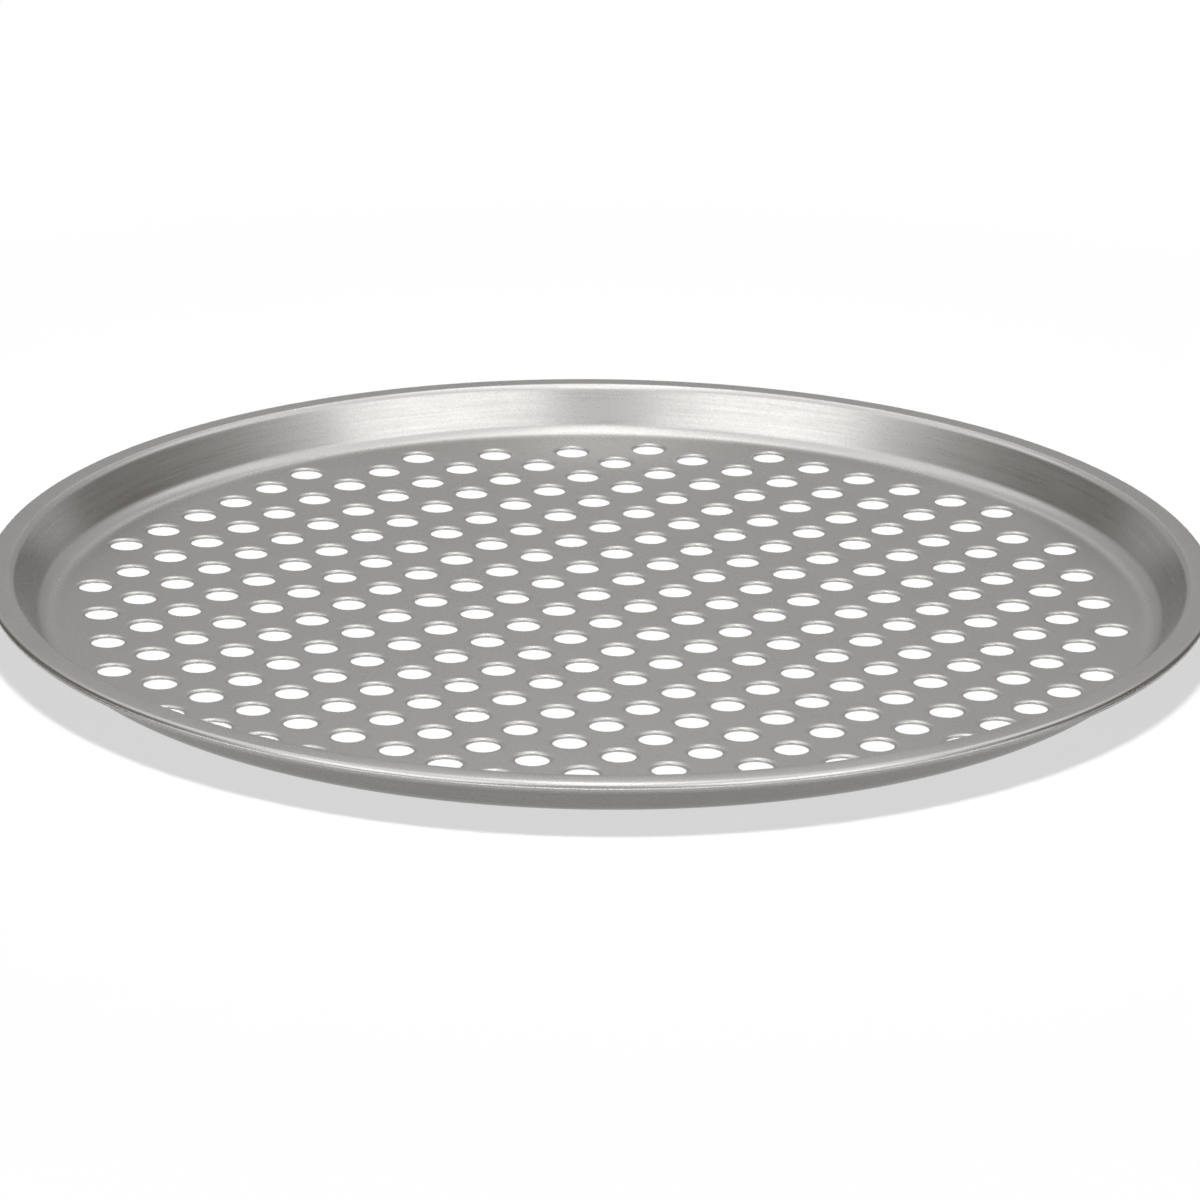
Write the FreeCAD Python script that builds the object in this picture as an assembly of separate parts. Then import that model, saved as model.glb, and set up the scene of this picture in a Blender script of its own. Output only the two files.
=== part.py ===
import FreeCAD, Part
import math
import os

# A perforated pizza pan: one pressed sheet with its edge rolled round a stiffening wire.
# The origin is at the centre of the pan on the surface it stands on, with +Z up.
# The rows of holes run along X and Y. Lengths are in millimetres, angles in degrees.

# Overall sizes
rim_diameter = 320.0
pan_height = 13.0
sheet = 0.8

# Wall and rim
wall_angle = 59.0
base_bend_radius = 5.0
lip_bend_radius = 2.4
rim_width = 6.9
flange_crown_radius = 60.0
curl_angle = 280.0

# Wire inside the rolled edge
wire_diameter = 0.9
wire_clearance = 0.15

# Vent holes
hole_diameter = 8.7
hole_pitch = 15.27
hole_margin = 2.0
cut_overrun = 1.0

# Sizes that follow from those above
rim_radius = rim_diameter / 2
slope = math.radians(wall_angle)
wall_top_radius = rim_radius - rim_width
wall_foot_radius = wall_top_radius - (pan_height - sheet) / math.tan(slope)
flat_radius = wall_foot_radius - base_bend_radius * math.tan(slope / 2)
flange_inner_radius = wall_top_radius + lip_bend_radius * math.tan(slope / 2)

# The flange is an arc that starts level at the lip and droops until it runs into the bead
bead_radius = wire_diameter / 2 + wire_clearance + sheet
bead_centre_radius = rim_radius - bead_radius
crown_to_bead = flange_crown_radius - bead_radius
flange_droop = math.degrees(math.asin((bead_centre_radius - flange_inner_radius) / crown_to_bead))
crown_height = pan_height - flange_crown_radius
bead_centre_height = crown_height + crown_to_bead * math.cos(math.radians(flange_droop))

# Points closer together than this are one point
touching = 1e-6

ORIGIN = FreeCAD.Vector(0, 0, 0)
PAN_AXIS = FreeCAD.Vector(0, 0, 1)


def section_point(radius, height):
    """A point of the cross-section, which lies in the XZ plane."""
    return FreeCAD.Vector(radius, 0, height)


def on_circle(centre, radius, angle):
    """The point of a circle at an angle, which is counted in degrees from +X towards +Z."""
    turn = math.radians(angle)
    return centre + section_point(radius * math.cos(turn), radius * math.sin(turn))


def bend(centre, radius, start, end):
    """The arc of a bend of the sheet, from one angle to another."""
    middle = (start + end) / 2
    return Part.Arc(*(on_circle(centre, radius, angle) for angle in (start, middle, end))).toShape()


def joined(edges):
    """The closed outline of edges given in order, with a straight run across each gap between them."""
    outline = []
    for edge, following in zip(edges, edges[1:] + edges[:1]):
        outline.append(edge)
        end = edge.lastVertex(True).Point
        start = following.firstVertex(True).Point
        if not end.isEqual(start, touching):
            outline.append(Part.makeLine(end, start))
    return Part.Wire(outline)


def pan_section():
    """The outline of the sheet: base, bend, wall, lip, flange and the curl of the rolled edge."""
    base_bend = section_point(flat_radius, sheet + base_bend_radius)
    lip_bend = section_point(flange_inner_radius, pan_height - lip_bend_radius)
    crown = section_point(flange_inner_radius, crown_height)
    bead = section_point(bead_centre_radius, bead_centre_height)
    down, up = -90, 90
    base_bend_end = down + wall_angle
    lip_bend_start = up + wall_angle
    curl_start = up - flange_droop
    curl_end = up - curl_angle
    return joined([
        Part.makeLine(section_point(0, 0), section_point(0, sheet)),
        bend(base_bend, base_bend_radius, down, base_bend_end),
        bend(lip_bend, lip_bend_radius, lip_bend_start, up),
        bend(crown, flange_crown_radius, up, curl_start),
        bend(bead, bead_radius, curl_start, curl_end),
        bend(bead, bead_radius - sheet, curl_end, curl_start),
        bend(crown, flange_crown_radius - sheet, curl_start, up),
        bend(lip_bend, lip_bend_radius - sheet, up, lip_bend_start),
        bend(base_bend, base_bend_radius + sheet, base_bend_end, down),
    ])


def hole_places():
    """The centres of the vent holes, in a square grid about the axis, kept off the bend of the base."""
    reach = flat_radius - hole_margin - hole_diameter / 2
    rows = math.ceil(reach / hole_pitch)
    steps = [(row + 0.5) * hole_pitch for row in range(-rows, rows)]
    return [(x, y) for x in steps for y in steps if math.hypot(x, y) <= reach]


def make_pan_body():
    """The pressed sheet with its vent holes punched through the base."""
    body = Part.Face(pan_section()).revolve(ORIGIN, PAN_AXIS, 360)
    depth = sheet + 2 * cut_overrun
    punches = [
        Part.makeCylinder(hole_diameter / 2, depth, FreeCAD.Vector(x, y, -cut_overrun))
        for x, y in hole_places()
    ]
    return body.cut(Part.Compound(punches))


def make_rim_wire():
    """The wire in the rolled edge, a ring whose ends are welded together."""
    centre = section_point(0, bead_centre_height)
    return Part.makeTorus(bead_centre_radius, wire_diameter / 2, centre, PAN_AXIS)


os.makedirs("parts", exist_ok=True)
for node, shape in {"pan_body": make_pan_body(), "rim_wire": make_rim_wire()}.items():
    shape.exportStep(f"parts/{node}.step")
    print(node, "solids", len(shape.Solids), "volume", round(shape.Volume, 1), "valid", shape.isValid())
print("vent holes", len(hole_places()), "flat radius", round(flat_radius, 2))
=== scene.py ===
import math

import bpy
from bpy.props import FloatProperty, FloatVectorProperty, IntProperty, PointerProperty
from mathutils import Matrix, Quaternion, Vector
from mathutils.geometry import delaunay_2d_cdt


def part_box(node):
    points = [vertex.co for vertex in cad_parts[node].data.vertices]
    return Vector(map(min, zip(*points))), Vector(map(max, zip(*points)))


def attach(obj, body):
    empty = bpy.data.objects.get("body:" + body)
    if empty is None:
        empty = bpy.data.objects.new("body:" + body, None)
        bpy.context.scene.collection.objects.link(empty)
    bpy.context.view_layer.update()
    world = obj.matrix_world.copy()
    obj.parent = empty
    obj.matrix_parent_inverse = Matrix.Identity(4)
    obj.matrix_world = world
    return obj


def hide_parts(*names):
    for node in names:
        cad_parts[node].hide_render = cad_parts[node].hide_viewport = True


bl_info = {
    "name": "Perforated Pizza Pan",
    "version": (1, 0, 0),
    "blender": (4, 5, 0),
    "location": "View3D > Sidebar > Pan",
    "description": "Builds a perforated pizza pan with a wired rim and the stage it is shown on",
    "category": "Add Mesh",
}

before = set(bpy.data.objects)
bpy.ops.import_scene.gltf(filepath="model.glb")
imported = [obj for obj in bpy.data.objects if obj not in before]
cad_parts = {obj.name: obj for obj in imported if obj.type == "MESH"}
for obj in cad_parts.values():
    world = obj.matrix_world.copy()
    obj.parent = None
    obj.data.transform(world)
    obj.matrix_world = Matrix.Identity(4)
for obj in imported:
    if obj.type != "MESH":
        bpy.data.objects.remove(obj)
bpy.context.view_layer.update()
PAN_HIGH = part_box("pan_body")[1]
WIRE_LOW, WIRE_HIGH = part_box("rim_wire")
WIRE_THICKNESS = WIRE_HIGH.z - WIRE_LOW.z

MM = 0.001

# Name of the texture map that holds a piece's flat pattern
BAKE_MAP = "OFBake"

# The two sides of a sheet, each with a disc of its own in the flat pattern
UPPER, LOWER = 0, 1

# Two equal discs that touch fill a unit square best along its diagonal, with this radius
PATTERN_DISC = 1 / (2 + math.sqrt(2))
PATTERN_CENTRES = (Vector((PATTERN_DISC, PATTERN_DISC)), Vector((1 - PATTERN_DISC, 1 - PATTERN_DISC)))

# Left free round each disc
PATTERN_MARGIN = 0.003

# Edges that turn by more than this stay crisp
CREASE = math.radians(40)

# A bend of the sheet has at least this many steps
FEWEST_STEPS = 4

# Points of the base that are closer together than this are one point
TOUCHING = 1e-6

# What the division of the base into triangles gives back: those that lie within its outlines
WITHIN_OUTLINES = 1

# Detail of every noise in the finishes, and the value that it has on average
NOISE_DETAIL = 3.0
NOISE_MEAN = 0.5

UPRIGHT = Vector((0, 0, 1))
SIDES = ((-1, "left"), (1, "right"))

# The floor lies this much below the base, so that the two never share a plane
FLOOR_GAP = 0.05 * MM

# Steps round the card that lies on the floor
FLOOR_CARD_STEPS = 64

# Height of the light strips over the floor, which keeps the two apart
STRIP_LIFT = 1 * MM

# How far the camera sees
VIEW_REACH = 100


def length(name, default, description):
    """A property for a length in metres, shown with a tenth of a millimetre."""
    return FloatProperty(name=name, description=description, default=default, unit="LENGTH", precision=4)


def angle(name, degrees, description):
    """A property for an angle, given in degrees and kept in radians."""
    return FloatProperty(name=name, description=description, default=math.radians(degrees), subtype="ANGLE")


def share(name, default, description):
    """A property for a plain factor."""
    return FloatProperty(name=name, description=description, default=default, precision=3)


def number(name, default, least, description):
    """A property for a whole number."""
    return IntProperty(name=name, description=description, default=default, min=least)


def colour(name, default, description):
    """A property for a colour in linear light."""
    return FloatVectorProperty(name=name, description=description, default=default, subtype="COLOR", size=3)


class PanBodySettings(bpy.types.PropertyGroup):
    """Sizes of the pressed and punched sheet."""

    rim_diameter: length("Rim Diameter", 2 * PAN_HIGH.x, "Width over the rolled edge")
    height: length("Height", PAN_HIGH.z, "Height of the flange above the table")
    sheet: length("Sheet", 0.8 * MM, "Thickness of the steel sheet")
    wall_angle: angle("Wall Angle", 59, "Slope of the wall, counted from the base")
    base_bend: length("Base Bend", 5.0 * MM, "Inner radius between base and wall")
    run_in: length("Run-in", 1.6 * MM, "How far inside that radius the base starts to rise")
    lip_bend: length("Lip Bend", 2.4 * MM, "Outer radius between wall and flange")
    rim_width: length("Rim Width", 6.9 * MM, "Width from the top of the wall to the outer edge")
    crown: length("Flange Crown", 60 * MM, "Radius of the flange, which droops from the lip outwards")
    curl: angle("Curl", 280, "How far the edge is rolled round the wire")
    hole_diameter: length("Hole Diameter", 8.7 * MM, "Width of a vent hole")
    hole_pitch: length("Hole Pitch", 15.27 * MM, "Distance between vent holes in a row")
    hole_margin: length("Hole Margin", 2.0 * MM, "Least distance from a hole to the radius of the base")
    roll_width: length("Hole Roll Width", 1.3 * MM, "Width of the edge that the punch draws down")
    roll_depth: length("Hole Roll Depth", 0.45 * MM, "How far the punch draws the edge of a hole down")
    crease_guard: length("Crease Guard", 0.12 * MM, "Narrow strip that keeps flat faces flat beside a bend")
    round_steps: number("Steps Round", 320, 64, "Steps round the pan")
    hole_steps: number("Hole Steps", 28, 12, "Steps round a vent hole")
    roll_steps: number("Roll Steps", 5, 2, "Steps over the edge of a hole")
    base_steps: number("Base Bend Steps", 12, 4, "Steps over the bend between base and wall")
    bend_step: angle("Bend Step", 7, "Turn of the sheet between two rings of any other bend")


class RimWireSettings(bpy.types.PropertyGroup):
    """Sizes of the wire in the rolled edge."""

    thickness: length("Thickness", WIRE_THICKNESS, "Diameter of the wire")
    ring_radius: length("Ring Radius", WIRE_HIGH.x - WIRE_THICKNESS / 2, "Radius of the ring's centre line")
    ring_height: length("Ring Height", (WIRE_HIGH.z + WIRE_LOW.z) / 2, "Height of the ring's centre line")
    round_steps: number("Steps Round", 320, 64, "Steps round the ring")
    wire_steps: number("Wire Steps", 16, 8, "Steps round the wire")


class FinishSettings(bpy.types.PropertyGroup):
    """Colours and textures of the coated sheet and of bare steel."""

    coat: colour("Coat", (0.335, 0.329, 0.320), "Satin silver coat")
    coat_dark: colour("Coat Grain", (0.240, 0.236, 0.230), "Dark specks of the coat")
    coat_roughness: share("Coat Roughness", 0.29, "Roughness of the coat")
    grain_size: length("Grain Size", 0.55 * MM, "Width of the coat's specks")
    grain_depth: length("Grain Depth", 0.0035 * MM, "Height of the coat's specks")
    grain_crispness: share("Grain Crispness", 0.62, "Weight of the finest detail in the grain")
    grain_sheen: share("Grain Sheen", 0.12, "How far the grain changes the roughness")
    speck_start: share("Speck Start", 0.46, "Grain from which a speck shows")
    speck_full: share("Speck Full", 0.74, "Grain from which a speck is at its darkest")
    speck_tone: share("Speck Tone", 0.42, "How far the specks darken the coat")
    mottle_size: length("Mottle Size", 26 * MM, "Width of the soft patches in the coat")
    mottle_crispness: share("Mottle Crispness", 0.5, "Weight of the finest detail in the patches")
    mottle_tone: share("Mottle Tone", 0.35, "How far the patches darken the coat")
    mottle_sheen: share("Mottle Sheen", 0.10, "How far the patches change the roughness")
    streak_height: length("Streak Height", 0.7 * MM, "Height of the drawing streaks on the wall")
    streak_length: length("Streak Length", 34 * MM, "Length of the drawing streaks and of the die lines")
    streak_depth: length("Streak Depth", 0.007 * MM, "Depth of the drawing streaks")
    streak_crispness: share("Streak Crispness", 0.55, "Weight of the finest detail in the streaks")
    streak_tone: share("Streak Tone", 0.5, "How far the streaks darken the coat")
    streak_sheen: share("Streak Sheen", 0.20, "How far the streaks change the roughness")
    steel: colour("Bare Steel", (0.48, 0.472, 0.46), "Cut edges and wire")
    steel_dark: colour("Dark Steel", (0.336, 0.3304, 0.322), "Die lines of the wire")
    steel_roughness: share("Steel Roughness", 0.30, "Roughness of cut edges and wire")
    line_width: length("Die Line Width", 0.1375 * MM, "Width of the die lines along the wire")
    line_crispness: share("Die Line Crispness", 0.6, "Weight of the finest detail in the die lines")
    line_start: share("Die Line Start", 0.4, "Noise from which a die line shows")
    line_full: share("Die Line Full", 0.7, "Noise from which a die line is at its darkest")
    line_sheen: share("Die Line Sheen", 0.2, "How far the die lines change the roughness")


class StageSettings(bpy.types.PropertyGroup):
    """Camera, lights, cards and floor."""

    lens: FloatProperty(name="Lens", description="Focal length", default=205.2, unit="CAMERA")
    view_azimuth: angle("View Azimuth", 36.59, "Where the camera stands round the pan")
    view_elevation: angle("View Elevation", 19.53, "How high the camera stands")
    view_distance: length("View Distance", 1.795, "From the camera to the point it looks at")
    view_beyond: length("View Beyond", 5.9 * MM, "How far behind the middle of the pan the camera looks")
    view_roll: angle("View Roll", 0.61, "Turn of the camera about its own axis")
    floor_size: length("Floor Size", 8.0, "Width of the floor")
    floor: colour("Floor", (0.40, 0.40, 0.40), "Colour of the floor, which is a white sheet lit from below")
    floor_glow: share("Floor Glow", 0.60, "Light that comes through the floor near the pan")
    shaded_floor: length("Shaded Floor", 0.24, "Radius of the floor that shows light and shadow")
    white_floor: length("White Floor", 0.42, "Radius from which the floor is plain white")
    fill_light: share("Fill Light", 0.20, "Light from all round on surfaces that are not shiny")
    key_height: length("Key Height", 1.2, "Height of the small lamp over the pan that casts the shadow")
    key_width: length("Key Width", 0.22, "Width of the key lamp")
    key_light: share("Key Light", 87.0, "Brightness of the key lamp")
    top_height: length("Top Box Height", 1.25, "Height of the long softbox over the pan")
    top_width: length("Top Box Width", 0.24, "Width of the top softbox")
    top_near: length("Top Box Near", 0.78, "Reach of the top softbox towards the camera")
    top_far: length("Top Box Far", 1.5, "Reach of the top softbox away from the camera")
    top_light: share("Top Box Light", 3.1, "Brightness of the top softbox")
    far_width: length("Far Box Width", 0.1, "Width of the narrow softbox beyond the top softbox")
    far_end: length("Far Box End", 1.85, "Reach of the far softbox, which starts where the top softbox ends")
    far_light: share("Far Box Light", 5.0, "Brightness of the far softbox")
    front_azimuth: angle("Front Box Azimuth", 40.5, "Turn of the two front softboxes from the camera")
    front_elevation: angle("Front Box Elevation", 40, "How high the front softboxes stand")
    front_distance: length("Front Box Distance", 1.3, "From the pan to a front softbox")
    front_width: length("Front Box Width", 0.86, "Width and height of a front softbox")
    front_light: share("Front Box Light", 2.4, "Brightness of a front softbox")
    cross_width: length("Cross Box Width", 3.0, "Width of the softbox that crosses the top softbox")
    cross_near: length("Cross Box Near", 0.45, "Reach of the cross softbox towards the camera")
    cross_far: length("Cross Box Far", 1.15, "Reach of the cross softbox away from the camera")
    cross_light: share("Cross Box Light", 1.05, "Brightness of the cross softbox")
    card_azimuth: angle("Card Azimuth", 108, "Turn of the two side cards from the camera")
    card_distance: length("Card Distance", 1.2, "From the pan to a side card")
    card_width: length("Card Width", 1.3, "Width of a side card")
    card_front: length("Card Front Height", 0.88, "Height of a side card at its end towards the camera")
    card_back: length("Card Back Height", 0.42, "Height of a side card at its end away from the camera")
    card_glow: colour("Card", (0.265, 0.240, 0.200), "Shade of the side cards")
    strip_near: length("Floor Strip Near", 0.22, "From the middle of the pan to a light strip on the floor")
    strip_depth: length("Floor Strip Depth", 0.5, "Depth of a light strip on the floor")
    strip_width: length("Floor Strip Width", 0.9, "Width of a light strip on the floor")
    strip_azimuth: angle("Floor Strip Azimuth", 45, "Turn of the outer light strips from the middle one")
    strip_light: share("Floor Strip Light", 2.6, "Brightness of a light strip on the floor")
    ring_inner: length("Floor Card Inner", 0.178, "Inner radius of the dark card on the floor")
    ring_outer: length("Floor Card Outer", 1.6, "Outer radius of the floor card")
    ring_reach: angle("Floor Card Reach", 125, "How far the floor card reaches round each side from the back")
    ring_glow: colour("Floor Card", (0.22, 0.21, 0.2), "Shade of the floor card")
    back_distance: length("Back Card Distance", 2.4, "From the pan to the card behind it")
    back_width: length("Back Card Width", 3.0, "Width of the foot of the card behind the pan")
    back_top: length("Back Card Top", 1.4, "Width of the top of the card behind the pan")
    back_height: length("Back Card Height", 1.12, "Height of the card behind the pan")
    back_glow: colour("Back Card", (0.610, 0.597, 0.587), "Shade of the card behind the pan")


class PanSettings(bpy.types.PropertyGroup):
    """All that can be set about the pan and its stage."""

    body: PointerProperty(type=PanBodySettings)
    wire: PointerProperty(type=RimWireSettings)
    finish: PointerProperty(type=FinishSettings)
    stage: PointerProperty(type=StageSettings)


class Term:
    """An output socket that takes part in Python expressions: each operation adds a Math node."""

    def __init__(self, graph, socket):
        self.graph = graph
        self.socket = socket

    def math(self, operation, *terms):
        """The result of a Math node on terms and numbers."""
        return self.graph.node("ShaderNodeMath", {"operation": operation}, dict(enumerate(terms)))

    def __add__(self, other):
        return self.math("ADD", self, other)

    def __sub__(self, other):
        return self.math("SUBTRACT", self, other)

    def __rsub__(self, other):
        return self.math("SUBTRACT", other, self)

    def __mul__(self, other):
        return self.math("MULTIPLY", self, other)

    def __truediv__(self, other):
        return self.math("DIVIDE", self, other)

    def __rtruediv__(self, other):
        return self.math("DIVIDE", other, self)

    def __pow__(self, other):
        return self.math("POWER", self, other)

    def __gt__(self, other):
        return self.math("GREATER_THAN", self, other)

    def __lt__(self, other):
        return self.math("LESS_THAN", self, other)

    __radd__ = __add__
    __rmul__ = __mul__


class Graph:
    """The node tree of a material or of the world."""

    def __init__(self, owner):
        owner.use_nodes = True
        self.tree = owner.node_tree
        self.tree.nodes.clear()

    def node(self, kind, settings=None, inputs=None, output=0):
        """A new node of a kind, with its settings made first and then values or links put in its sockets."""
        made = self.tree.nodes.new(kind)
        for name, value in (settings or {}).items():
            setattr(made, name, value)
        for name, value in (inputs or {}).items():
            if isinstance(value, Term):
                self.tree.links.new(value.socket, made.inputs[name])
            else:
                made.inputs[name].default_value = value
        return Term(self, made.outputs[output]) if made.outputs else made

    def place(self):
        """The place on the piece in millimetres, as a vector."""
        metres = self.node("ShaderNodeTexCoord", output="Object")
        return self.node("ShaderNodeVectorMath", {"operation": "SCALE"}, {0: metres, "Scale": 1 / MM})

    def parts(self, vector):
        """The three numbers of a vector."""
        split = self.node("ShaderNodeSeparateXYZ", inputs={0: vector}).socket.node
        return [Term(self, socket) for socket in split.outputs]

    def vector(self, x, y, z):
        """A vector of three numbers."""
        return self.node("ShaderNodeCombineXYZ", inputs={0: x, 1: y, 2: z})

    def noise(self, vector, scale, crispness):
        """Smooth noise from 0 to 1."""
        inputs = {"Vector": vector, "Scale": scale, "Detail": NOISE_DETAIL, "Roughness": crispness}
        return self.node("ShaderNodeTexNoise", {"noise_dimensions": "3D"}, inputs)

    def lines_round(self, place, ring_radius, line_length, line_width, crispness):
        """Noise drawn out into lines round the pan's axis, with the given length at the ring's radius."""
        x, y, z = self.parts(place)
        radius = (x * x + y * y) ** 0.5
        turns = ring_radius / line_length
        stretched = self.vector(x / radius * turns, y / radius * turns, z * (MM / line_width))
        return self.noise(stretched, 1.0, crispness)

    def between(self, value, low, high):
        """A smooth step from 0 at low to 1 at high."""
        inputs = {"Value": value, "From Min": low, "From Max": high}
        return self.node("ShaderNodeMapRange", {"interpolation_type": "SMOOTHSTEP"}, inputs)

    def blend(self, factor, first, second):
        """A colour between two others, which are colours or links."""
        opaque = [c if isinstance(c, Term) else (*c, 1.0) for c in (first, second)]
        return self.node("ShaderNodeMix", {"data_type": "RGBA"}, {0: factor, 6: opaque[0], 7: opaque[1]}, 2)

    def bump(self, height_mm):
        """A normal from a height in millimetres."""
        return self.node("ShaderNodeBump", inputs={"Strength": 1.0, "Distance": MM, "Height": height_mm})

    def surface(self, shader):
        """Shows a shader on the material's surface."""
        self.node("ShaderNodeOutputMaterial", inputs={"Surface": shader})


def silver_coat(settings):
    """The satin coat of the sheet, with bare steel where the punch has cut it."""
    body, finish = settings.body, settings.finish
    material = bpy.data.materials.new("silver_coat")
    graph = Graph(material)
    place = graph.place()
    x, y, z = graph.parts(place)
    radius = (x * x + y * y) ** 0.5
    flat_mm = flat_radius(body) / MM

    grain = graph.noise(place, MM / finish.grain_size, finish.grain_crispness)
    specks = graph.between(grain, finish.speck_start, finish.speck_full)
    mottle = graph.noise(place, MM / finish.mottle_size, finish.mottle_crispness) - NOISE_MEAN
    drawn = graph.lines_round(
        place, body.rim_diameter / 2, finish.streak_length, finish.streak_height, finish.streak_crispness
    )
    on_wall = graph.between(radius, flat_mm, flat_mm + body.base_bend / MM)
    streak = (drawn - NOISE_MEAN) * on_wall

    inside_base = radius < flat_mm
    above_underside = z > body.crease_guard / MM
    below_roll = z < (body.sheet - body.roll_depth) / MM
    cut = inside_base * above_underside * below_roll

    tone = specks * finish.speck_tone + mottle * finish.mottle_tone + streak * finish.streak_tone
    coat = graph.blend(tone, finish.coat, finish.coat_dark)
    sheen = mottle * finish.mottle_sheen + (grain - NOISE_MEAN) * finish.grain_sheen
    coat_roughness = finish.coat_roughness + sheen + streak * finish.streak_sheen
    roughness = coat_roughness + cut * (finish.steel_roughness - finish.coat_roughness)
    height = grain * (finish.grain_depth / MM) + streak * (finish.streak_depth / MM)

    shader = graph.node("ShaderNodeBsdfPrincipled", inputs={
        "Base Color": graph.blend(cut, coat, finish.steel),
        "Metallic": 1.0,
        "Roughness": roughness,
        "Normal": graph.bump(height),
    })
    graph.surface(shader)
    return material


def drawn_steel(settings):
    """The wire's bare steel, with fine die lines along it."""
    finish, wire = settings.finish, settings.wire
    material = bpy.data.materials.new("drawn_steel")
    graph = Graph(material)
    lines = graph.lines_round(
        graph.place(), wire.ring_radius, finish.streak_length, finish.line_width, finish.line_crispness
    )
    dark = graph.between(lines, finish.line_start, finish.line_full)
    shader = graph.node("ShaderNodeBsdfPrincipled", inputs={
        "Base Color": graph.blend(dark, finish.steel, finish.steel_dark),
        "Metallic": 1.0,
        "Roughness": finish.steel_roughness + (lines - NOISE_MEAN) * finish.line_sheen,
        "Normal": graph.bump(lines * (finish.grain_depth / MM)),
    })
    graph.surface(shader)
    return material


class SheetMesh:
    """Rings, bands and plates of a closed sheet-metal skin, with a flat pattern of each of its two sides."""

    def __init__(self):
        self.points = []
        self.pattern = ([], [])
        self.faces = []
        self.sides = []

    def ring(self, radius, height, steps, spreads, centre=(0.0, 0.0)):
        """A level ring of points. Spreads are its radii on the patterns of the upper and the lower side."""
        start = len(self.points)
        middle = Vector(centre)
        for step in range(steps):
            turn = math.tau * step / steps
            out = Vector((math.cos(turn), math.sin(turn)))
            self.points.append((*(middle + radius * out), height))
            for places, spread in zip(self.pattern, spreads):
                places.append(middle + spread * out)
        return list(range(start, len(self.points)))

    def band(self, outer, inner, side):
        """Quads between two rings, facing up where the second lies inside the first."""
        for here, there in zip(range(len(outer)), [*range(1, len(outer)), 0]):
            self.faces.append((outer[here], outer[there], inner[there], inner[here]))
            self.sides.append(side)

    def plate(self, triangles, corners, side):
        """Triangles between rings, given as places in a list of the rings' points."""
        for triangle in triangles:
            self.faces.append([corners[place] for place in triangle])
            self.sides.append(side)

    def to_object(self, name, material):
        """The finished object, with crisp cut edges and its flat pattern as a texture map."""
        mesh = bpy.data.meshes.new(name)
        mesh.from_pydata(self.points, [], self.faces)
        widest = max(place.length for places in self.pattern for place in places)
        scale = (PATTERN_DISC - PATTERN_MARGIN) / widest
        layer = mesh.uv_layers.new(name=BAKE_MAP)
        for polygon, side in zip(mesh.polygons, self.sides):
            for corner in polygon.loop_indices:
                place = self.pattern[side][mesh.loops[corner].vertex_index]
                layer.uv[corner].vector = PATTERN_CENTRES[side] + scale * place
        mesh.shade_smooth()
        mesh.set_sharp_from_angle(angle=CREASE)
        mesh.materials.append(material)
        piece = bpy.data.objects.new(name, mesh)
        bpy.context.scene.collection.objects.link(piece)
        return piece


def flat_radius(body):
    """Radius at which the bend between base and wall would start without its run-in."""
    wall_top = body.rim_diameter / 2 - body.rim_width
    wall_foot = wall_top - (body.height - body.sheet) / math.tan(body.wall_angle)
    return wall_foot - body.base_bend * math.tan(body.wall_angle / 2)


def bend(centre, radius, start, end, step):
    """Points of a bend of the sheet, from one angle to another, in the plane of the section."""
    count = max(FEWEST_STEPS, round(abs(end - start) / step))
    turns = [start + (end - start) * part / count for part in range(count + 1)]
    return [centre + radius * Vector((math.cos(turn), math.sin(turn))) for turn in turns]


def soft_bend(body):
    """The upper and the lower line of the bend between base and wall, a parabola that starts gently."""
    reach = body.base_bend * math.tan(body.wall_angle / 2)
    foot = Vector((flat_radius(body) + reach, body.sheet))
    along_base = Vector((reach + body.run_in, 0))
    along_wall = reach * Vector((math.cos(body.wall_angle), math.sin(body.wall_angle)))
    upper, lower = [], []
    for step in range(body.base_steps + 1):
        part = step / body.base_steps
        heading = along_base.lerp(along_wall, part).normalized()
        upper.append(foot - (1 - part) ** 2 * along_base + part ** 2 * along_wall)
        lower.append(upper[-1] + body.sheet * Vector((heading.y, -heading.x)))
    return upper, lower


def joined(bends, guard):
    """One line through bends in order, with a point close to each end of the straight runs between them."""
    line = list(bends[0])
    for points in bends[1:]:
        run = points[0] - line[-1]
        if run.length > guard:
            along = run.normalized() * guard
            line.extend((line[-1] + along, points[0] - along, points[0]))
        line.extend(points[1:])
    return line


def spreads_of(line, start):
    """Distances along a line, counted from a start."""
    reached = [start]
    for first, second in zip(line, line[1:]):
        reached.append(reached[-1] + (second - first).length)
    return reached


def section(body, wire):
    """The upper and the lower line of the sheet's section, in radius and height, from the base outwards."""
    up = math.radians(90)
    base_above, base_below = soft_bend(body)
    lip_radius = body.rim_diameter / 2 - body.rim_width + body.lip_bend * math.tan(body.wall_angle / 2)
    bead_radius = body.rim_diameter / 2 - wire.ring_radius
    lip_centre = Vector((lip_radius, body.height - body.lip_bend))
    crown_centre = Vector((lip_radius, body.height - body.crown))
    bead_centre = Vector((wire.ring_radius, wire.ring_height))
    lip_start = up + body.wall_angle
    curl_start = up - math.asin((wire.ring_radius - lip_radius) / (body.crown - bead_radius))
    curl_end = up - body.curl
    step = body.bend_step
    hidden_step = 2 * step
    upper = [
        base_above,
        bend(lip_centre, body.lip_bend, lip_start, up, step),
        bend(crown_centre, body.crown, up, curl_start, step),
        bend(bead_centre, bead_radius, curl_start, curl_end, step),
    ]
    lower = [
        base_below,
        bend(lip_centre, body.lip_bend - body.sheet, lip_start, up, step),
        bend(crown_centre, body.crown - body.sheet, up, curl_start, step),
        bend(bead_centre, bead_radius - body.sheet, curl_start, curl_end, hidden_step),
    ]
    return [joined(bends, body.crease_guard) for bends in (upper, lower)]


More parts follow.
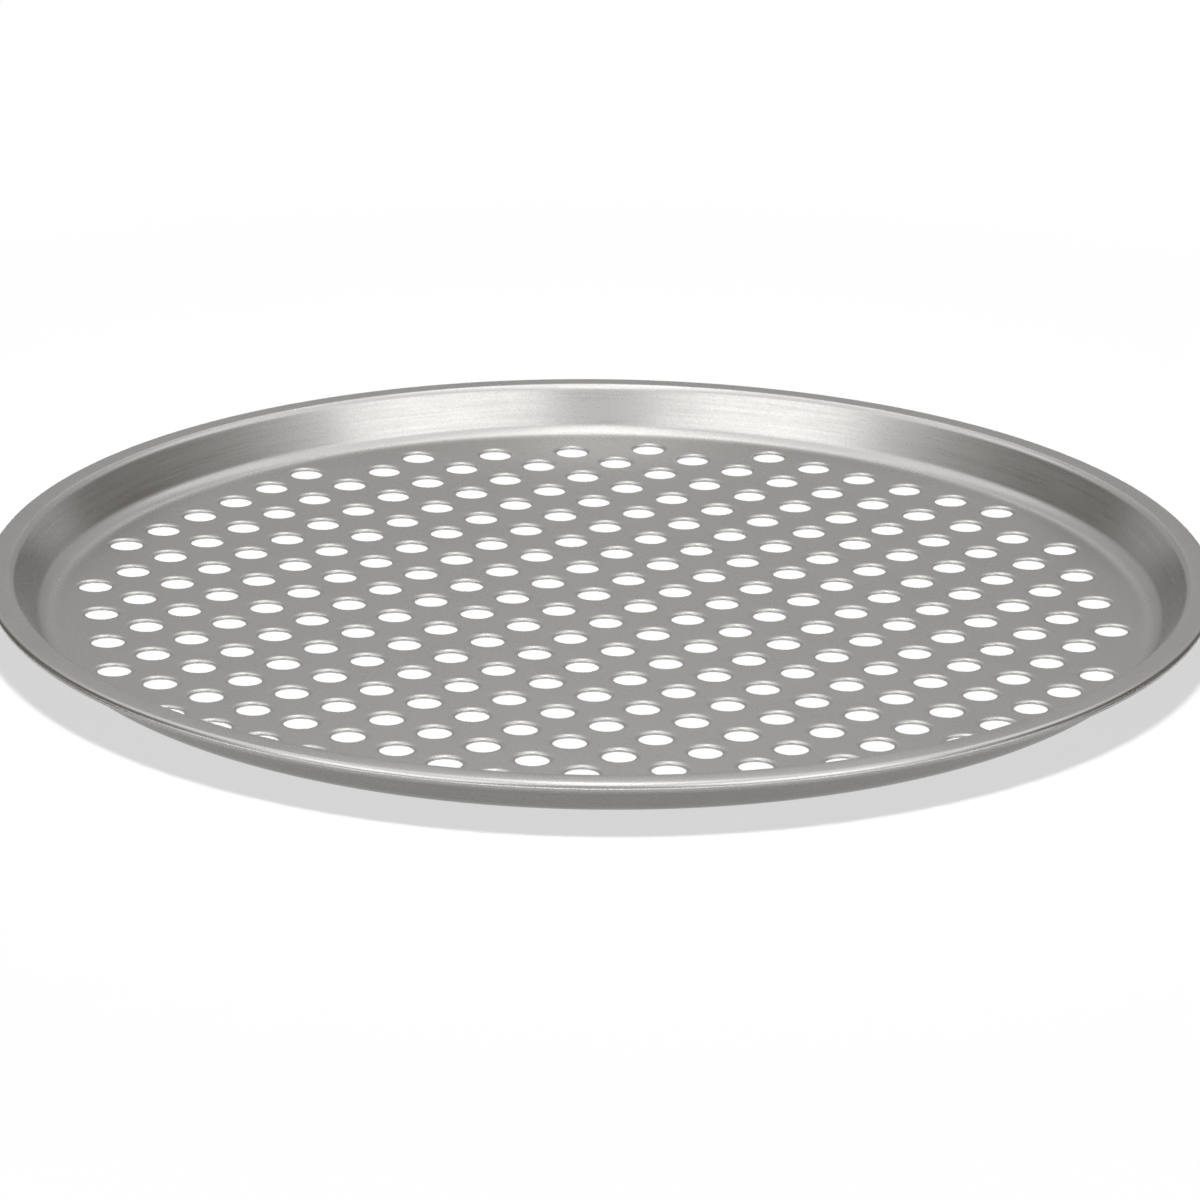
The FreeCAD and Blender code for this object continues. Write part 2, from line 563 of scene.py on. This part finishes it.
def hole_places(body):
    """Centres of the vent holes, in a square grid about the axis, kept off the bend of the base."""
    reach = flat_radius(body) - body.hole_margin - body.hole_diameter / 2
    rows = math.ceil(reach / body.hole_pitch)
    steps = [(row + 0.5) * body.hole_pitch for row in range(-rows, rows)]
    return [(x, y) for x in steps for y in steps if math.hypot(x, y) <= reach]


def rim_and_wall(mesh, body, wire):
    """Bends, wall, flange and rolled edge. Returns the rings that the base plate meets above and below."""
    upper, lower = section(body, wire)
    plate_edge = upper[0].x - body.crease_guard
    upper.insert(0, Vector((plate_edge, body.sheet)))
    lower.insert(0, Vector((plate_edge, 0.0)))
    upper_spreads = spreads_of(upper, plate_edge)
    lower_spreads = spreads_of(lower, plate_edge)
    past_cut = lower_spreads[-1] + body.sheet
    above = [
        mesh.ring(*point, body.round_steps, (spread, past_cut))
        for point, spread in zip(upper, upper_spreads)
    ]
    below = [
        mesh.ring(*point, body.round_steps, (spread, spread))
        for point, spread in zip(lower, lower_spreads)
    ]
    for inner, outer in zip(above, above[1:]):
        mesh.band(outer, inner, UPPER)
    mesh.band(below[-1], above[-1], LOWER)
    for inner, outer in zip(below, below[1:]):
        mesh.band(inner, outer, LOWER)
    return above[0], below[0]


def vent_hole(mesh, body, centre):
    """One punched hole, rolled over above and sharp below. Returns its rings on the two faces of the base."""
    hole_radius = body.hole_diameter / 2
    flat_edge = hole_radius + body.roll_width + body.crease_guard
    section_line = [Vector((flat_edge, body.sheet))]
    roll_centre = Vector((hole_radius + body.roll_width, body.sheet - body.roll_depth))
    quarter = math.radians(90)
    for turn in bend(Vector((0, 0)), 1.0, quarter, 2 * quarter, quarter / body.roll_steps):
        section_line.append(roll_centre + turn * Vector((body.roll_width, body.roll_depth)))
    section_line.append(Vector((hole_radius, 0.0)))
    inward = spreads_of(section_line, 0.0)
    rings = [
        mesh.ring(*point, body.hole_steps, (flat_edge - depth, hole_radius), centre)
        for point, depth in zip(section_line, inward)
    ]
    for outer, inner in zip(rings, rings[1:]):
        mesh.band(outer, inner, UPPER)
    return rings[0], rings[-1]


def base_plate(mesh, edges, holes):
    """The two faces of the base, between its outer edge and the vent holes."""
    above, below = zip(edges, *holes)
    corners_above = [corner for ring in above for corner in ring]
    corners_below = [corner for ring in below for corner in ring]
    flat = [Vector(mesh.points[corner][:2]) for corner in corners_above]
    outlines, start = [], 0
    for ring in above:
        outlines.append(list(range(start, start + len(ring))))
        start += len(ring)
    _, _, divided, _, _, lying_in = delaunay_2d_cdt(flat, [], outlines, WITHIN_OUTLINES, TOUCHING)
    outside_holes = [0]
    triangles = [triangle for triangle, within in zip(divided, lying_in) if within == outside_holes]
    mesh.plate(triangles, corners_above, UPPER)
    mesh.plate([triangle[::-1] for triangle in triangles], corners_below, LOWER)


class PAN_OT_body(bpy.types.Operator):
    """Press, punch and coat the sheet of the pan"""

    bl_idname = "pan.build_body"
    bl_label = "Build Pan Body"

    def execute(self, context):
        settings = context.scene.pan
        body = settings.body
        mesh = SheetMesh()
        edges = rim_and_wall(mesh, body, settings.wire)
        holes = [vent_hole(mesh, body, centre) for centre in hole_places(body)]
        base_plate(mesh, edges, holes)
        piece = mesh.to_object("pressed_sheet", silver_coat(settings))
        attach(piece, "root")
        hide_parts("pan_body")
        return {"FINISHED"}


class PAN_OT_rim_wire(bpy.types.Operator):
    """Bend the wire that stiffens the rolled edge"""

    bl_idname = "pan.build_rim_wire"
    bl_label = "Build Rim Wire"

    def execute(self, context):
        settings = context.scene.pan
        wire = settings.wire
        mesh = SheetMesh()
        radius = wire.thickness / 2
        rings = []
        for step in range(wire.wire_steps):
            turn = math.tau * step / wire.wire_steps
            across = wire.ring_radius + radius * math.cos(turn)
            spread = wire.ring_radius + radius * turn
            height = wire.ring_height + radius * math.sin(turn)
            rings.append(mesh.ring(across, height, wire.round_steps, (spread, spread)))
        for first, second in zip(rings, rings[1:] + rings[:1]):
            mesh.band(first, second, UPPER)
        piece = mesh.to_object("stiffening_wire", drawn_steel(settings))
        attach(piece, "root")
        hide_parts("rim_wire")
        return {"FINISHED"}


def direction(azimuth, elevation):
    """Unit vector from the pan to a place round it. Azimuth 0 is towards -Y, and 90 degrees towards +X."""
    level = math.cos(elevation)
    return Vector((math.sin(azimuth) * level, -math.cos(azimuth) * level, math.sin(elevation)))


def shown_as_background(graph):
    """1 for rays that show the background as it is, straight or in shiny or clear surfaces, else 0."""
    path = graph.node("ShaderNodeLightPath").socket.node
    camera, glossy, through = (
        Term(graph, path.outputs[f"Is {kind} Ray"]) for kind in ("Camera", "Glossy", "Transmission")
    )
    return camera.math("MAXIMUM", camera.math("MAXIMUM", camera, glossy), through)


def floor_material(stage):
    """Pale floor that shows the pan's shadow near it and is plain white further off."""
    material = bpy.data.materials.new("floor")
    graph = Graph(material)
    x, y = graph.parts(graph.node("ShaderNodeTexCoord", output="Object"))[:2]
    radius = (x * x + y * y) ** 0.5
    shown = shown_as_background(graph)
    far = graph.between(radius, stage.shaded_floor, stage.white_floor) * shown
    paper = graph.node("ShaderNodeBsdfDiffuse", inputs={"Color": (*stage.floor, 1.0)})
    glow = graph.node("ShaderNodeEmission", inputs={"Strength": shown * stage.floor_glow})
    lit = graph.node("ShaderNodeAddShader", inputs={0: paper, 1: glow})
    white = graph.node("ShaderNodeEmission", inputs={"Strength": 1.0})
    graph.surface(graph.node("ShaderNodeMixShader", inputs={0: far, 1: lit, 2: white}))
    return material


def white_world(stage):
    """White all round for the camera and in reflections, and a soft fill light for the rest."""
    world = bpy.data.worlds.new("white_room")
    graph = Graph(world)
    shown = shown_as_background(graph)
    strength = shown + (1 - shown) * stage.fill_light
    background = graph.node("ShaderNodeBackground", inputs={"Strength": strength})
    graph.node("ShaderNodeOutputWorld", inputs={"Surface": background})
    bpy.context.scene.world = world


def facing(place, aim):
    """The turn that points a lamp or a camera at an aim."""
    return (aim - place).to_track_quat("-Z", "Y")


def softbox(name, place, turn, width, depth, radiance):
    """A rectangular area light that shows only in reflections, as bright as its radiance."""
    lamp = bpy.data.lights.new(name, "AREA")
    lamp.shape = "RECTANGLE"
    lamp.size, lamp.size_y = width, depth
    lamp.energy = radiance * math.pi * width * depth
    box = bpy.data.objects.new(name, lamp)
    box.location = place
    box.rotation_mode = "QUATERNION"
    box.rotation_quaternion = turn
    box.visible_camera = False
    box.visible_diffuse = False
    bpy.context.scene.collection.objects.link(box)
    return box


def card(name, points, faces, glow):
    """A card that shows only in reflections, as bright as its glow."""
    mesh = bpy.data.meshes.new(name)
    mesh.from_pydata(points, [], faces)
    material = bpy.data.materials.new(name)
    graph = Graph(material)
    graph.surface(graph.node("ShaderNodeEmission", inputs={"Color": (*glow, 1.0), "Strength": 1.0}))
    mesh.materials.append(material)
    sheet = bpy.data.objects.new(name, mesh)
    sheet.visible_camera = False
    sheet.visible_diffuse = False
    sheet.visible_shadow = False
    bpy.context.scene.collection.objects.link(sheet)


def standing_card(name, foot, corners, glow):
    """An upright card that faces the pan. Its corners are distances to the left of its foot and up."""
    left = UPRIGHT.cross(foot).normalized()
    points = [foot + left * across + UPRIGHT * height for across, height in corners]
    card(name, points, [(0, 1, 2, 3)], glow)


def floor_card(stage):
    """A dark card that lies on the floor round the back of the pan."""
    steps = FLOOR_CARD_STEPS
    points = []
    for step in range(steps + 1):
        turn = stage.view_azimuth + math.pi + stage.ring_reach * (2 * step / steps - 1)
        out = direction(turn, 0)
        points += [out * stage.ring_inner, out * stage.ring_outer]
    faces = [(2 * step, 2 * step + 1, 2 * step + 3, 2 * step + 2) for step in range(steps)]
    card("floor_card", points, faces, stage.ring_glow)


def set_cards(stage):
    """The cards that the metal mirrors: one at each side, one on the floor and one behind the pan."""
    for side, name in SIDES:
        foot = stage.card_distance * direction(stage.view_azimuth + side * stage.card_azimuth, 0)
        back = side * stage.card_width / 2
        corners = ((back, 0), (-back, 0), (-back, stage.card_front), (back, stage.card_back))
        standing_card(f"{name}_card", foot, corners, stage.card_glow)
    floor_card(stage)
    foot = -stage.back_distance * direction(stage.view_azimuth, 0)
    low, high, top = stage.back_width / 2, stage.back_top / 2, stage.back_height
    standing_card("back_card", foot, ((-low, 0), (low, 0), (high, top), (-high, top)), stage.back_glow)


def hang_lights(stage, middle):
    """The key lamp for the shadow, the softboxes round the pan and the light strips on the floor."""
    width = stage.key_width
    place = middle + UPRIGHT * stage.key_height
    key = softbox("key_lamp", place, facing(place, middle), width, width, stage.key_light)
    key.visible_diffuse = True
    key.visible_glossy = False

    away = -direction(stage.view_azimuth, 0)
    face_down = Quaternion(UPRIGHT, stage.view_azimuth)
    for name, width, near, far, light in (
        ("top_box", stage.top_width, stage.top_near, stage.top_far, stage.top_light),
        ("far_box", stage.far_width, -stage.top_far, stage.far_end, stage.far_light),
        ("cross_box", stage.cross_width, stage.cross_near, stage.cross_far, stage.cross_light),
    ):
        place = middle + UPRIGHT * stage.top_height + away * (far - near) / 2
        softbox(name, place, face_down, width, near + far, light)

    width = stage.front_width
    for side, name in SIDES:
        azimuth = stage.view_azimuth + side * stage.front_azimuth
        place = middle + stage.front_distance * direction(azimuth, stage.front_elevation)
        softbox(f"{name}_front_box", place, facing(place, middle), width, width, stage.front_light)

    width, depth = stage.strip_width, stage.strip_depth
    over = Quaternion((1, 0, 0), math.pi)
    for side, name in ((-1, "left"), (0, "middle"), (1, "right")):
        azimuth = stage.view_azimuth + side * stage.strip_azimuth
        place = (stage.strip_near + depth / 2) * direction(azimuth, 0) + UPRIGHT * STRIP_LIFT
        face_up = Quaternion(UPRIGHT, azimuth) @ over
        softbox(f"{name}_floor_strip", place, face_up, width, depth, stage.strip_light)


def look_at_pan(stage, middle):
    """The camera, at the place that the stage settings give."""
    lens = bpy.data.cameras.new("camera")
    lens.lens = stage.lens
    lens.clip_end = VIEW_REACH
    camera = bpy.data.objects.new("camera", lens)
    aim = middle - direction(stage.view_azimuth, 0) * stage.view_beyond
    camera.location = aim + direction(stage.view_azimuth, stage.view_elevation) * stage.view_distance
    camera.rotation_mode = "QUATERNION"
    roll = Quaternion((0, 0, 1), stage.view_roll)
    camera.rotation_quaternion = facing(camera.location, aim) @ roll
    bpy.context.scene.collection.objects.link(camera)
    bpy.context.scene.camera = camera


class PAN_OT_stage(bpy.types.Operator):
    """Lay the floor, hang the lights, stand the cards and set up the camera"""

    bl_idname = "pan.build_stage"
    bl_label = "Build Stage"

    def execute(self, context):
        settings = context.scene.pan
        stage = settings.stage
        middle = Vector((0, 0, settings.body.sheet))
        context.scene.view_settings.view_transform = "Standard"

        half = stage.floor_size / 2
        corners = [(-half, -half, 0), (half, -half, 0), (half, half, 0), (-half, half, 0)]
        mesh = bpy.data.meshes.new("floor")
        mesh.from_pydata(corners, [], [(0, 1, 2, 3)])
        mesh.materials.append(floor_material(stage))
        floor = bpy.data.objects.new("floor", mesh)
        floor.location.z = -FLOOR_GAP
        context.scene.collection.objects.link(floor)

        white_world(stage)
        hang_lights(stage, middle)
        set_cards(stage)
        look_at_pan(stage, middle)
        return {"FINISHED"}


class PAN_PT_panel(bpy.types.Panel):
    """Sizes, colours and build steps of the pan"""

    bl_idname = "PAN_PT_panel"
    bl_label = "Pizza Pan"
    bl_space_type = "VIEW_3D"
    bl_region_type = "UI"
    bl_category = "Pan"

    def draw(self, context):
        settings = context.scene.pan
        for group in (settings.body, settings.wire, settings.finish, settings.stage):
            box = self.layout.box()
            for name in group.__annotations__:
                box.prop(group, name)
        for operator in OPERATORS:
            self.layout.operator(operator.bl_idname)


OPERATORS = (PAN_OT_body, PAN_OT_rim_wire, PAN_OT_stage)
CLASSES = (
    PanBodySettings, RimWireSettings, FinishSettings, StageSettings, PanSettings,
    *OPERATORS, PAN_PT_panel,
)


def register():
    for kind in CLASSES:
        bpy.utils.register_class(kind)
    bpy.types.Scene.pan = PointerProperty(type=PanSettings)


def unregister():
    del bpy.types.Scene.pan
    for kind in reversed(CLASSES):
        bpy.utils.unregister_class(kind)


def main():
    """Builds the pan and its stage."""
    register()
    bpy.ops.pan.build_body()
    bpy.ops.pan.build_rim_wire()
    bpy.ops.pan.build_stage()


if __name__ == "__main__":
    main()
